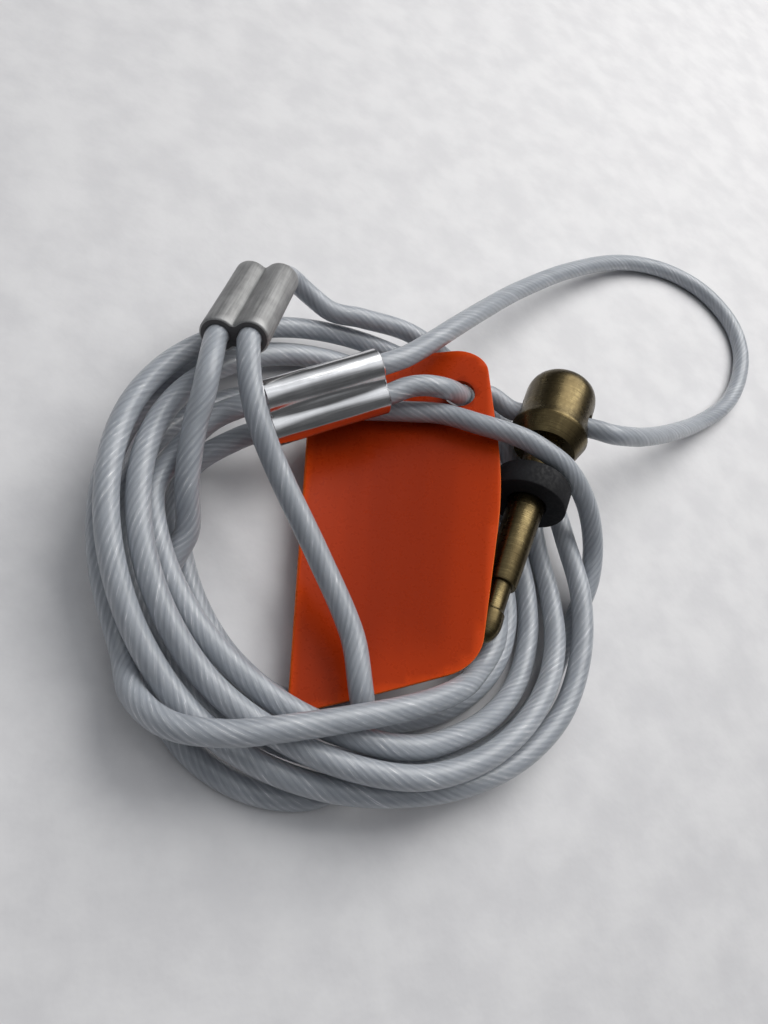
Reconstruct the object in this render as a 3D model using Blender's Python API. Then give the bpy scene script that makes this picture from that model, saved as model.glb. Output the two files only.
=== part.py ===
# Coated wire rope lanyard with two pressed eyes, a tag and a brass pull pin, wound up and lying down.
# Sizes below are in millimetres; +Z is up and the lanyard lies on the plane Z = 0.
import math

import bmesh
import bpy
from mathutils import Matrix, Vector

MM = 0.001

# Rope
ROPE_DIAMETER = 4.0
ROPE_FLAT_CUT = 0.4
SEAT_GAP = 0.3
LEAST_COIL_GAP = 0.4
POINTS_PER_TURN = 24
EXTRA_POINTS_AT = (577.5, 592.5, 1072.5, 1087.5, 1102.5)
ROPE_STEP_DIAMETERS = 1.8
ROPE_LEAD = 1.0

# Where the wound rope's centre lies, and how far the whole part is moved to stand on its own middle
COIL_CENTRE = Vector((-5.0, -7.0, 0.0))
PART_SHIFT = Vector((-29.017, -15.005, -ROPE_FLAT_CUT))

# Pressed sleeves: two barrels side by side, each with a bore for the rope
SLEEVE_LENGTH = 22.6
SLEEVE_BARREL_RADIUS = 3.2
SLEEVE_BARREL_SPACING = 5.6
SLEEVE_BORE_CLEARANCE = 0.5
SLEEVE_EDGE_ROUND = 0.3
SLEEVE_BARREL_POINTS = 14
CUTTER_OVERRUN = 2.0
PRESS_MARKS = 3
PRESS_MARK_DEPTH = 0.35
PRESS_MARK_HALF = 0.32
PRESS_MARK_BRIM = 1.3
ROPE_ENTRY = 5.0

# Each sleeve: the middle of its first end, a point it is aimed at, and its roll in degrees
ANCHOR_SLEEVE = (Vector((-34.4, 17.9, 22.2)), Vector((-25.7, 39.9, 15.7)), -25.0)
TETHER_SLEEVE = (Vector((-27.4, 8.4, 14.7)), Vector((-7.3, 16.0, 19.0)), 40.0)

# Tag: a thin sheet, curled up towards its right edge. Corners are given from its middle, across and up it.
TAG_THICKNESS = 1.0
TAG_MIDDLE = Vector((-3.0, -2.6, 9.1))
TAG_UP = Vector((0.165, 0.986, 0.02))
TAG_RISE = 0.30
TAG_CURL = 0.0055
TAG_CORNERS = [
    (15.9, 37.2, 5.5), (4.0, 34.6, 6.0), (-16.2, 16.0, 3.0), (-13.2, -41.2, 2.5), (15.7, -30.3, 8.0),
    (19.2, 5.0, 100.0),
]
TAG_CORNER_POINTS = 6
TAG_STRIPS = 10
TAG_HOLE_DIAMETER = 8.0
TAG_HOLE_ACROSS = 12.0
TAG_HOLE_UP = 25.0
TAG_HOLE_POINTS = 24

# Pull pin, measured from the top of its head along its axis
PIN_TOP = Vector((36.4, 24.7, 16.3))
PIN_END = Vector((10.3, -29.8, 11.4))
PIN_HEAD_RADIUS = 7.1
PIN_HEAD_TOP_RADIUS = 4.6
PIN_HEAD_DOME = 4.0
PIN_FLARE_FROM = 10.0
PIN_FLARE_AT = 13.4
PIN_FLARE_RADIUS = 7.7
PIN_FOOT_RADIUS = 6.2
PIN_HEAD_LENGTH = 17.4
PIN_SHANK_RADIUS = 3.5
PIN_TAPER_FROM = 32.0
PIN_SHANK_END_RADIUS = 3.0
PIN_NECK_AT = 49.0
PIN_NECK_RADIUS = 2.2
PIN_NECK_LENGTH = 5.4
PIN_NOSE_STEP = 0.5
PIN_NOSE_RADIUS = 2.6
PIN_NOSE_ROUND = 4.2
PIN_HOLE_AT = 9.2
PIN_HOLE_CLEARANCE = 0.6
PIN_HOLE_STRAIGHT = 8.8
PIN_HOLE_DIRECTION = Vector((0.80, -0.42, 0.43))
PIN_SIDES = 32

# Rubber washer on the pin
WASHER_RADIUS = 7.5
WASHER_THICKNESS = 5.0
WASHER_AT = 25.8
WASHER_EDGE_ROUND = 0.7

# The wound rope, turn by turn: angle round the coil in degrees, radius and height of the rope's middle.
# It starts in the tether sleeve, winds outwards and ends in the anchor sleeve.
TURN_INNER_LEFT = [
    (180, 40.2, 11.2), (200, 39.7, 10.6), (225, 38.9, 10.0), (255, 40.0, 12.0), (270, 40.6, 12.1),
    (290, 39.0, 8.9), (315, 37.6, 3.6), (337, 34.9, 2.1), (360, 32.2, 2.0), (405, 35.8, 2.0),
    (450, 39.5, 2.0), (495, 43.8, 5.6),
]
TURN_OVER_ALL = [
    (180, 47.8, 10.8), (203, 49.2, 8.2), (210, 49.8, 7.0), (216, 52.2, 8.6), (222, 53.0, 11.6),
    (228, 51.8, 14.3), (234, 48.4, 15.9), (241, 44.2, 16.6), (250, 39.9, 16.8), (261, 36.8, 16.2),
    (270, 34.9, 15.4), (281, 33.1, 14.3), (290, 32.7, 11.4), (300, 31.2, 8.2), (315, 29.6, 6.6),
    (338, 25.6, 4.6), (360, 22.8, 2.9), (405, 27.0, 4.4), (450, 28.6, 2.6), (495, 37.0, 2.2),
]
TURN_OVER_PIN = [
    (180, 44.0, 7.0), (225, 43.7, 6.2), (270, 42.4, 7.7), (290, 43.2, 4.9), (315, 43.4, 2.0),
    (338, 43.4, 2.2), (344, 45.0, 2.8), (351, 46.3, 4.8), (358, 46.2, 7.8), (363.5, 44.2, 11.4),
    (369, 40.8, 15.8), (375, 35.8, 19.8), (381.5, 31.6, 21.2), (388, 29.2, 20.8), (396, 27.3, 19.9),
    (404, 25.4, 18.2), (413, 25.0, 16.3), (430, 23.0, 13.8), (445, 22.2, 11.8), (469, 22.9, 10.2),
    (481.5, 23.6, 9.4), (493.5, 24.9, 8.6), (508.5, 28.8, 7.4), (518, 32.6, 5.8), (528.5, 34.9, 4.5),
]
TURN_UNDER_TAG = [
    (180, 35.0, 3.5), (200, 34.6, 2.2), (225, 35.3, 2.1), (243, 35.0, 2.2), (258, 31.8, 2.6),
    (270, 34.0, 3.0), (315, 32.8, 2.2), (360, 27.6, 2.0), (405, 31.3, 2.0), (450, 35.5, 5.8),
    (495, 39.5, 10.5),
]
TURN_MIDDLE = [
    (180, 42.8, 15.3), (225, 43.7, 11.1), (247, 44.3, 12.4), (270, 45.4, 13.5), (315, 41.2, 8.6),
    (337, 39.0, 4.8), (360, 37.0, 2.3), (405, 39.2, 6.0), (450, 43.6, 5.4), (495, 45.0, 11.0),
]
TURN_OUTER = [
    (180, 47.5, 15.8), (225, 48.4, 9.6), (247, 47.7, 8.0), (270, 46.9, 8.6), (315, 46.6, 6.8),
    (338, 43.6, 7.4), (351, 42.0, 7.2), (360, 41.4, 6.2), (405, 43.8, 4.5), (431, 47.0, 7.6),
    (450, 45.6, 9.8),
]
WOUND_TURNS = [TURN_INNER_LEFT, TURN_OVER_ALL, TURN_OVER_PIN, TURN_UNDER_TAG, TURN_MIDDLE, TURN_OUTER]

# The wound rope's two ends, point by point, between its turns and the sleeves' faces
COIL_START_ROUTE = [(-36.6, 6.0, 14.6), (-42.2, -0.6, 12.0)]
COIL_END_ROUTE = [(-11.4, 38.6, 10.0), (-16.4, 40.8, 11.2), (-20.8, 41.8, 13.6)]

# Free stretches, point by point, between the sleeves' faces
ANCHOR_EYE_ROUTE = [
    (-38.6, 10.4, 22.4), (-39.2, 6.1, 21.2), (-40.0, 1.9, 18.6), (-40.3, -6.0, 14.0), (-39.2, -11.8, 9.0),
    (-40.6, -15.3, 6.6), (-42.8, -19.8, 3.9), (-44.0, -26.0, 2.1), (-43.0, -36.0, 2.0),
    (-37.5, -45.5, 2.0), (-28.5, -51.4, 2.0), (-19.0, -52.8, 2.0), (-12.6, -50.0, 2.1),
    (-10.6, -46.0, 3.4), (-11.4, -42.6, 8.6), (-12.8, -38.0, 12.0), (-13.8, -29.6, 12.6),
    (-19.2, -17.6, 14.6), (-26.6, -4.6, 18.4), (-30.5, 3.0, 21.4), (-32.0, 9.1, 22.9),
]
TETHER_EYE_ROUTE = [
    (-2.3, 21.2, 20.8), (2.9, 25.6, 19.8), (11.4, 33.5, 18.0), (21.5, 43.0, 15.1), (34.6, 54.9, 11.0),
    (54.2, 69.6, 6.8), (75.0, 81.0, 3.4), (91.0, 83.8, 2.1), (103.0, 79.6, 2.1), (109.9, 70.6, 2.1),
    (110.5, 60.3, 2.1), (105.8, 49.4, 2.1), (97.9, 40.1, 2.4), (84.9, 31.4, 4.4), (67.2, 21.5, 11.0),
    (53.7, 14.9, 16.6), (46.5, 12.4, 19.2), (41.9, 11.6, 20.2),
]
TETHER_RETURN_ROUTE = [
    (21.6, 23.6, 10.9), (17.8, 23.8, 10.7), (14.6, 21.8, 11.6), (12.4, 19.9, 14.1), (9.0, 18.4, 17.0),
    (5.6, 17.2, 18.9), (2.4, 17.0, 19.0), (-1.0, 16.4, 18.4),
]


def vec(values):
    return Vector(values) * MM


def place(point):
    return (Vector(point) + PART_SHIFT) * MM


def remove_everything():
    for old in list(bpy.data.objects):
        bpy.data.objects.remove(old, do_unlink=True)


def make_material(name, colour, roughness, metallic):
    material = bpy.data.materials.new(name)
    material.use_nodes = True
    shader = material.node_tree.nodes["Principled BSDF"]
    shader.inputs["Base Color"].default_value = (*colour, 1.0)
    shader.inputs["Roughness"].default_value = roughness
    shader.inputs["Metallic"].default_value = metallic
    return material


def object_from_bmesh(name, bm, material, world=None):
    bmesh.ops.recalc_face_normals(bm, faces=bm.faces)
    mesh = bpy.data.meshes.new(name)
    bm.to_mesh(mesh)
    bm.free()
    mesh.materials.append(material)
    mesh.shade_smooth()
    mesh.set_sharp_from_angle(angle=math.radians(32))
    obj = bpy.data.objects.new(name, mesh)
    bpy.context.collection.objects.link(obj)
    if world is not None:
        obj.matrix_world = world
    return obj


def as_cutter(obj):
    obj.hide_render = True
    obj.display_type = "WIRE"
    return obj


def cut(obj, cutter, name):
    modifier = obj.modifiers.new(name, "BOOLEAN")
    modifier.operation = "DIFFERENCE"
    modifier.object = cutter
    modifier.solver = "EXACT"


def frame_matrix(origin, along, across):
    """World matrix with +Z along, +X as near across as it can be, origin in metres."""
    z_axis = Vector(along).normalized()
    x_axis = Vector(across) - z_axis * Vector(across).dot(z_axis)
    x_axis.normalize()
    y_axis = z_axis.cross(x_axis)
    matrix = Matrix((x_axis, y_axis, z_axis)).transposed().to_4x4()
    matrix.translation = origin
    return matrix


def smooth_value(stops, values, at):
    """Cubic through the stops, with the slope at each stop taken from its two neighbours."""
    last = len(stops) - 1
    index = 0
    while index < last - 1 and stops[index + 1] < at:
        index += 1

    def slope(i):
        low = max(i - 1, 0)
        high = min(i + 1, last)
        return (values[high] - values[low]) / (stops[high] - stops[low])

    width = stops[index + 1] - stops[index]
    t = (at - stops[index]) / width
    a, b = values[index], values[index + 1]
    m, n = slope(index) * width, slope(index + 1) * width
    return (
        (2 * t ** 3 - 3 * t ** 2 + 1) * a + (t ** 3 - 2 * t ** 2 + t) * m
        + (3 * t ** 2 - 2 * t ** 3) * b + (t ** 3 - t ** 2) * n
    )


def smooth_route(points, step):
    """Points about one step apart on a smooth curve through the given points."""
    stops = [0.0]
    for before, after in zip(points, points[1:]):
        stops.append(stops[-1] + (Vector(after) - Vector(before)).length)
    count = max(2, round(stops[-1] / step))
    columns = [[point[axis] for point in points] for axis in range(3)]
    route = []
    for i in range(count + 1):
        at = stops[-1] * i / count
        route.append(Vector([smooth_value(stops, column, at) for column in columns]))
    return route


def sleeve_frame(sleeve):
    """Unit vectors of a sleeve: along it from its first end, and across it from barrel to barrel."""
    start, aim, roll = sleeve
    along = (aim - start).normalized()
    level = along.cross(Vector((0, 0, 1))).normalized()
    return along, Matrix.Rotation(math.radians(roll), 3, along) @ level


def barrel_point(sleeve, side, distance):
    """A point on the axis of one barrel, at a distance from the sleeve's first end."""
    along, across = sleeve_frame(sleeve)
    return sleeve[0] + along * distance + across * (side * SLEEVE_BARREL_SPACING / 2)


def rope_object(name, points, material, resolution):
    """A round rope along the points, as a bevelled curve with closed ends."""
    curve = bpy.data.curves.new(name, "CURVE")
    curve.dimensions = "3D"
    curve.bevel_depth = ROPE_DIAMETER / 2 * MM
    curve.bevel_resolution = resolution
    curve.use_fill_caps = True
    spline = curve.splines.new("POLY")
    spline.points.add(len(points) - 1)
    for spline_point, point in zip(spline.points, points):
        spline_point.co = (*place(point), 1.0)
    curve.materials.append(material)
    obj = bpy.data.objects.new(name, curve)
    bpy.context.collection.objects.link(obj)
    return obj


def cut_flat_below(obj):
    """Turn a rope into a plain mesh and cut it flat along the surface that it lies on."""
    view = bpy.context.evaluated_depsgraph_get()
    mesh = bpy.data.meshes.new_from_object(obj.evaluated_get(view))
    name = obj.name
    material = obj.data.materials[0]
    bpy.data.objects.remove(obj, do_unlink=True)
    bm = bmesh.new()
    bm.from_mesh(mesh)
    bmesh.ops.remove_doubles(bm, verts=bm.verts, dist=0.001 * MM)
    everything = list(bm.verts) + list(bm.edges) + list(bm.faces)
    bmesh.ops.bisect_plane(
        bm, geom=everything, dist=0.0005 * MM, plane_co=(0, 0, 0), plane_no=(0, 0, 1), clear_inner=True,
    )
    rims = [edge for edge in bm.edges if edge.is_boundary]
    bmesh.ops.holes_fill(bm, edges=rims, sides=0)
    bmesh.ops.remove_doubles(bm, verts=bm.verts, dist=0.001 * MM)
    return object_from_bmesh(name, bm, material)


def wound_points():
    """The wound rope's middle line: out of one sleeve, round every turn, into the other."""
    stations = []
    for number, turn in enumerate(WOUND_TURNS):
        stations += [(angle + 360 * number, radius, height) for angle, radius, height in turn]
    angles, radii, heights = zip(*stations)
    step = 360 / POINTS_PER_TURN
    sampled = [angles[0] + i * step for i in range(int((angles[-1] - angles[0]) // step) + 1)]
    points = []
    for angle in sorted(sampled + list(EXTRA_POINTS_AT)):
        radius = smooth_value(angles, radii, angle)
        turned = math.radians(angle)
        height = smooth_value(angles, heights, angle)
        points.append(COIL_CENTRE + Vector((radius * math.cos(turned), radius * math.sin(turned), height)))

    lead_in = [barrel_point(TETHER_SLEEVE, -1, at) for at in (ROPE_ENTRY, 0.0, -ROPE_LEAD)]
    lead_out = [barrel_point(ANCHOR_SLEEVE, 1, SLEEVE_LENGTH + at) for at in (ROPE_LEAD, 0.0, -ROPE_ENTRY)]
    start = [Vector(point) for point in COIL_START_ROUTE]
    end = [Vector(point) for point in COIL_END_ROUTE]
    return lead_in + start + points + end + lead_out


def least_gap(points, apart):
    """The least clear gap between stretches of one rope that are at least apart along it."""
    fine = []
    for before, after in zip(points, points[1:]):
        fine += [before.lerp(after, part / 4) for part in range(4)]
    travelled = [0.0]
    for before, after in zip(fine, fine[1:]):
        travelled.append(travelled[-1] + (after - before).length)
    best = float("inf")
    for i, first in enumerate(fine):
        for j in range(i + 1, len(fine)):
            if travelled[j] - travelled[i] > apart:
                best = min(best, (fine[j] - first).length - ROPE_DIAMETER)
    return best


def make_coil(material):
    points = wound_points()
    gap = least_gap(points, 6 * ROPE_DIAMETER)
    print(f"least gap of the coil to itself: {gap:.2f} mm, wanted over {LEAST_COIL_GAP} mm")
    return cut_flat_below(rope_object("lanyard_coil", points, material, 1))


def make_anchor_eye(material):
    start = [barrel_point(ANCHOR_SLEEVE, -1, at) for at in (SLEEVE_LENGTH - SEAT_GAP, 0.0, -ROPE_LEAD)]
    end_at = SLEEVE_LENGTH - ROPE_ENTRY - SEAT_GAP
    end = [barrel_point(ANCHOR_SLEEVE, 1, at) for at in (-ROPE_LEAD, 0.0, end_at)]
    route = smooth_route([start[2]] + ANCHOR_EYE_ROUTE + [end[0]], ROPE_STEP_DIAMETERS * ROPE_DIAMETER)
    return cut_flat_below(rope_object("anchor_eye", start[:2] + route + end[1:], material, 2))


def make_tether_eye(material):
    start_at = ROPE_ENTRY + SEAT_GAP
    length = SLEEVE_LENGTH
    start = [barrel_point(TETHER_SLEEVE, -1, at) for at in (start_at, length, length + ROPE_LEAD)]
    end = [barrel_point(TETHER_SLEEVE, 1, at) for at in (length + ROPE_LEAD, length, SEAT_GAP)]
    hole = pin_point(PIN_HOLE_AT)
    through = PIN_HOLE_DIRECTION.normalized() * PIN_HOLE_STRAIGHT
    step = ROPE_STEP_DIAMETERS * ROPE_DIAMETER
    loop = smooth_route([start[2]] + TETHER_EYE_ROUTE + [hole + through], step)
    back = smooth_route([hole - through] + TETHER_RETURN_ROUTE + [end[0]], step / 2)
    return cut_flat_below(rope_object("tether_eye", start[:2] + loop + back + end[1:], material, 2))


def sleeve_outline(squeeze):
    """One section of a sleeve: two round barrels that meet at a groove on each side."""
    radius = SLEEVE_BARREL_RADIUS * (1 - squeeze)
    offset = SLEEVE_BARREL_SPACING / 2
    open_angle = math.acos(min(0.96, offset / radius * 0.96))
    outline = []
    for side in (1, -1):
        for i in range(SLEEVE_BARREL_POINTS):
            part = i / (SLEEVE_BARREL_POINTS - 1)
            angle = (math.pi - open_angle) * (2 * part - 1)
            if side < 0:
                angle += math.pi
            outline.append((side * offset + radius * math.cos(angle), radius * math.sin(angle)))
    return outline


def make_sleeve(name, sleeve, marks, material):
    """A pressed sleeve: a loft of two-barrel sections, with a bore for the rope in each barrel."""
    along, across = sleeve_frame(sleeve)
    world = frame_matrix(place(sleeve[0]), along, across)
    edge = SLEEVE_EDGE_ROUND
    sections = [(0.0, edge / SLEEVE_BARREL_RADIUS), (edge, 0.0)]
    depth = PRESS_MARK_DEPTH / SLEEVE_BARREL_RADIUS
    for mark in range(marks):
        middle = SLEEVE_LENGTH * (mark + 1) / (marks + 1)
        half = SLEEVE_LENGTH / (marks + 1) * PRESS_MARK_HALF
        brim = PRESS_MARK_BRIM * half
        sections += [(middle - brim, 0.0), (middle - half, depth)]
        sections += [(middle + half, depth), (middle + brim, 0.0)]
    sections += [(SLEEVE_LENGTH - edge, 0.0), (SLEEVE_LENGTH, edge / SLEEVE_BARREL_RADIUS)]

    bm = bmesh.new()
    rings = []
    for height, squeeze in sections:
        rings.append([bm.verts.new(vec((x, y, height))) for x, y in sleeve_outline(squeeze)])
    count = len(rings[0])
    for low, high in zip(rings, rings[1:]):
        for i in range(count):
            bm.faces.new((low[i], low[(i + 1) % count], high[(i + 1) % count], high[i]))
    bm.faces.new(list(reversed(rings[0])))
    bm.faces.new(rings[-1])
    solid = object_from_bmesh(name, bm, material, world)

    bore_radius = ROPE_DIAMETER / 2 + SLEEVE_BORE_CLEARANCE
    for side in (1, -1):
        bm = bmesh.new()
        bmesh.ops.create_cone(
            bm, cap_ends=True, segments=20, radius1=bore_radius * MM, radius2=bore_radius * MM,
            depth=(SLEEVE_LENGTH + CUTTER_OVERRUN) * MM,
        )
        offset = vec((side * SLEEVE_BARREL_SPACING / 2, 0, SLEEVE_LENGTH / 2))
        bmesh.ops.translate(bm, vec=offset, verts=bm.verts)
        bore = object_from_bmesh(f"{name}_bore_{side}", bm, material, world)
        cut(solid, as_cutter(bore), f"bore_{side}")
    return solid


def tag_frame():
    """Unit vectors of the tag's flat layout: up its length, across it to the right, and out of it."""
    up = TAG_UP.normalized()
    across = up.cross(Vector((0, 0, 1))).normalized()
    return up, across, across.cross(up)


def tag_lift(across):
    """How far the curled sheet lies above its flat layout, at a distance across it."""
    return TAG_RISE * across + TAG_CURL * across * across


def tag_hole_centre():
    up, across, out = tag_frame()
    return TAG_MIDDLE + across * TAG_HOLE_ACROSS + up * TAG_HOLE_UP + out * tag_lift(TAG_HOLE_ACROSS)


def rounded_outline(corners, steps):
    """Points round a polygon whose corners are (x, y, rounding radius)."""
    outline = []
    for i, (x, y, radius) in enumerate(corners):
        corner = Vector((x, y))
        before = (Vector(corners[i - 1][:2]) - corner).normalized()
        after = (Vector(corners[(i + 1) % len(corners)][:2]) - corner).normalized()
        half = before.angle(after) / 2
        reach = radius / math.tan(half)
        middle = corner + (before + after).normalized() * radius / math.sin(half)
        first = corner + before * reach - middle
        last = corner + after * reach - middle
        turn = first.angle_signed(last)
        for step in range(steps):
            angle = -turn * step / (steps - 1)
            spoke = Matrix.Rotation(angle, 2) @ first
            outline.append(middle + spoke)
    return outline


def make_tag(material):
    """A rounded sheet, cut into strips up its length so that it can be curled, then pierced."""
    up, across, out = tag_frame()
    hole_at = Vector((TAG_HOLE_ACROSS, TAG_HOLE_UP, tag_lift(TAG_HOLE_ACROSS)))
    world = frame_matrix(place(tag_hole_centre()), out, across)
    bm = bmesh.new()
    outline = rounded_outline(TAG_CORNERS, TAG_CORNER_POINTS)
    base = bm.faces.new([bm.verts.new((x, y, -TAG_THICKNESS / 2)) for x, y in outline])
    extruded = bmesh.ops.extrude_face_region(bm, geom=[base])
    moved = [item for item in extruded["geom"] if isinstance(item, bmesh.types.BMVert)]
    bmesh.ops.translate(bm, vec=(0, 0, TAG_THICKNESS), verts=moved)
    left = min(x for x, y in outline)
    right = max(x for x, y in outline)
    for strip in range(1, TAG_STRIPS):
        line = left + (right - left) * strip / TAG_STRIPS
        everything = list(bm.verts) + list(bm.edges) + list(bm.faces)
        bmesh.ops.bisect_plane(bm, geom=everything, dist=0.0001, plane_co=(line, 0, 0), plane_no=(1, 0, 0))
    for vert in bm.verts:
        vert.co.z += tag_lift(vert.co.x)
        vert.co = (vert.co - hole_at) * MM
    bmesh.ops.triangulate(bm, faces=bm.faces)
    tag = object_from_bmesh("tag", bm, material, world)

    bm = bmesh.new()
    bmesh.ops.create_cone(
        bm, cap_ends=True, segments=TAG_HOLE_POINTS, radius1=TAG_HOLE_DIAMETER / 2 * MM,
        radius2=TAG_HOLE_DIAMETER / 2 * MM, depth=6 * TAG_THICKNESS * MM,
    )
    tilt = math.atan(TAG_RISE + 2 * TAG_CURL * TAG_HOLE_ACROSS)
    hole = object_from_bmesh("tag_hole", bm, material, world @ Matrix.Rotation(-tilt, 4, "Y"))
    cut(tag, as_cutter(hole), "hole")
    return tag


def pin_direction():
    return (PIN_END - PIN_TOP).normalized()


def pin_length():
    return (PIN_END - PIN_TOP).length


def pin_point(distance):
    return PIN_TOP + pin_direction() * distance


def pin_frame_at_hole():
    """The pin's own frame: origin in its cross hole, +Z from head to nose, +X along the hole."""
    return frame_matrix(place(pin_point(PIN_HOLE_AT)), pin_direction(), PIN_HOLE_DIRECTION)


def pin_profile():
    """Distance from the head's top and radius, from the middle of the top to the middle of the nose."""
    length = pin_length()
    profile = [(0.0, 0.0), (0.0, PIN_HEAD_TOP_RADIUS)]
    for i in range(1, 5):
        angle = math.radians(90 * i / 4)
        profile.append((
            PIN_HEAD_DOME * (1 - math.cos(angle)),
            PIN_HEAD_TOP_RADIUS + (PIN_HEAD_RADIUS - PIN_HEAD_TOP_RADIUS) * math.sin(angle),
        ))
    nose_from = PIN_NECK_AT + PIN_NECK_LENGTH
    profile += [
        (PIN_FLARE_FROM, PIN_HEAD_RADIUS),
        (PIN_FLARE_AT, PIN_FLARE_RADIUS),
        (PIN_HEAD_LENGTH, PIN_FOOT_RADIUS),
        (PIN_HEAD_LENGTH, PIN_SHANK_RADIUS),
        (PIN_TAPER_FROM, PIN_SHANK_RADIUS),
        (PIN_NECK_AT, PIN_SHANK_END_RADIUS),
        (PIN_NECK_AT, PIN_NECK_RADIUS),
        (nose_from, PIN_NECK_RADIUS),
        (nose_from + PIN_NOSE_STEP, PIN_NOSE_RADIUS),
    ]
    for i in range(6):
        angle = math.radians(90 * i / 5)
        profile.append((
            length - PIN_NOSE_ROUND * (1 - math.sin(angle)),
            PIN_NOSE_RADIUS * math.cos(angle),
        ))
    return profile


def revolve(profile, sides):
    """A closed turned body from (height, radius) pairs that start and end on the axis."""
    bm = bmesh.new()
    rings = []
    for height, radius in profile:
        if radius < 1e-6:
            rings.append([bm.verts.new(vec((0, 0, height)))])
            continue
        ring = []
        for i in range(sides):
            angle = 2 * math.pi * i / sides
            ring.append(bm.verts.new(vec((radius * math.cos(angle), radius * math.sin(angle), height))))
        rings.append(ring)
    for low, high in zip(rings, rings[1:]):
        for i in range(sides):
            j = (i + 1) % sides
            corners = [low[i % len(low)], low[j % len(low)], high[j % len(high)], high[i % len(high)]]
            bm.faces.new(list(dict.fromkeys(corners)))
    return bm


def make_pin(material):
    world = pin_frame_at_hole()
    shifted = [(height - PIN_HOLE_AT, radius) for height, radius in pin_profile()]
    pin = object_from_bmesh("pull_pin", revolve(shifted, PIN_SIDES), material, world)
    bore_radius = (ROPE_DIAMETER / 2 + PIN_HOLE_CLEARANCE) * MM
    bm = bmesh.new()
    bmesh.ops.create_cone(
        bm, cap_ends=True, segments=20, radius1=bore_radius, radius2=bore_radius,
        depth=4 * PIN_HEAD_RADIUS * MM,
    )
    hole_world = frame_matrix(world.translation, PIN_HOLE_DIRECTION, (0, 0, 1))
    hole = object_from_bmesh("pull_pin_hole", bm, material, hole_world)
    cut(pin, as_cutter(hole), "hole")
    return pin


def make_washer(material):
    """A rubber ring with rounded rims, seated round the shank."""
    bore = PIN_SHANK_RADIUS + SEAT_GAP
    low = WASHER_AT - PIN_HOLE_AT
    high = low + WASHER_THICKNESS
    edge = WASHER_EDGE_ROUND
    section = [
        (low, bore), (low, WASHER_RADIUS - edge), (low + edge, WASHER_RADIUS),
        (high - edge, WASHER_RADIUS), (high, WASHER_RADIUS - edge), (high, bore),
    ]
    bm = bmesh.new()
    rings = []
    for height, radius in section:
        ring = []
        for i in range(PIN_SIDES):
            angle = 2 * math.pi * i / PIN_SIDES
            ring.append(bm.verts.new(vec((radius * math.cos(angle), radius * math.sin(angle), height))))
        rings.append(ring)
    for ring, after in zip(rings, rings[1:] + rings[:1]):
        for i in range(PIN_SIDES):
            j = (i + 1) % PIN_SIDES
            bm.faces.new((ring[i], ring[j], after[j], after[i]))
    return object_from_bmesh("seal_washer", bm, material, pin_frame_at_hole())


def main():
    remove_everything()
    coated_rope = make_material("coated_rope", (0.46, 0.49, 0.52), 0.35, 0.0)
    bare_aluminium = make_material("bare_aluminium", (0.62, 0.63, 0.64), 0.38, 1.0)
    bright_aluminium = make_material("bright_aluminium", (0.68, 0.69, 0.70), 0.25, 1.0)
    orange_sheet = make_material("orange_sheet", (0.62, 0.10, 0.02), 0.25, 0.0)
    aged_brass = make_material("aged_brass", (0.42, 0.32, 0.14), 0.38, 1.0)
    black_rubber = make_material("black_rubber", (0.02, 0.02, 0.022), 0.65, 0.0)

    make_coil(coated_rope)
    make_anchor_eye(coated_rope.copy())
    make_tether_eye(coated_rope.copy())
    make_sleeve("anchor_sleeve", ANCHOR_SLEEVE, 0, bare_aluminium)
    make_sleeve("tether_sleeve", TETHER_SLEEVE, PRESS_MARKS, bright_aluminium)
    make_tag(orange_sheet)
    make_pin(aged_brass)
    make_washer(black_rubber)


main()
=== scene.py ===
import math

import bmesh
import bpy
from mathutils import Matrix, Vector


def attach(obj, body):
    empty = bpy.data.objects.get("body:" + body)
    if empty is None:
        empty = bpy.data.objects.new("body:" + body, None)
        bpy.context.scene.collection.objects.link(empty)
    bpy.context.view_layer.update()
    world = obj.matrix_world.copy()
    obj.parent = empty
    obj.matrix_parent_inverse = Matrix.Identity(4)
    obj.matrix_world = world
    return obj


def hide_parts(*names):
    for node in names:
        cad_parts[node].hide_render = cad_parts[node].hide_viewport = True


MM = 0.001
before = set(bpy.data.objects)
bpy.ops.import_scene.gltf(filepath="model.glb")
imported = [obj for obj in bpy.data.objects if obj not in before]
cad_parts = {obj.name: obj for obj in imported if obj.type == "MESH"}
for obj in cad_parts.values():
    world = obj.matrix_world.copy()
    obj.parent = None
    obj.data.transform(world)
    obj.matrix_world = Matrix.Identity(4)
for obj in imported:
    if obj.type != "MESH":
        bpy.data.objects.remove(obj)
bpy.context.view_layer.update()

PART_SHIFT = Vector((-29.017, -15.005, -0.4))
COIL_CENTRE = Vector((-5.0, -7.0, 0.0))

# Camera: fitted to the picture, looking down at the rope from the lower left
PICTURE_LONG_SIDE_PX = 1024
FOCAL_PX = 850.0
SENSOR_MM = 36.0
CAMERA_TILT = math.radians(36.0)
CAMERA_ROLL = math.radians(40.0)
CAMERA_HEIGHT = 132.8

# The room's own soft light comes mostly from overhead: (how far towards it, brightness)
ROOM_LIGHT_FROM = (0.15, 0.22, 0.95)
ROOM_LIGHT = [(0.46, 0.16), (0.62, 0.08), (0.77, 0.09), (0.89, 0.50), (1.0, 1.0)]
ROOM_LIGHT_TINT = (0.95, 0.97, 1.0)

# Lamps: place and width in metres, power in watts, and colour
KEY_LAMP = ((0.22, 0.26, 0.44), 0.55, 2.5, (1.0, 0.985, 0.96))
FILL_LAMP = ((-0.55, 0.10, 0.50), 0.6, 0.25, (0.93, 0.96, 1.0))
LAMP_TARGET = Vector((0, 0, 0.01))

# Floor, in metres
FLOOR_HALF_SIZE = 2.0
FLOOR_DROP = 0.0003

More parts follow.
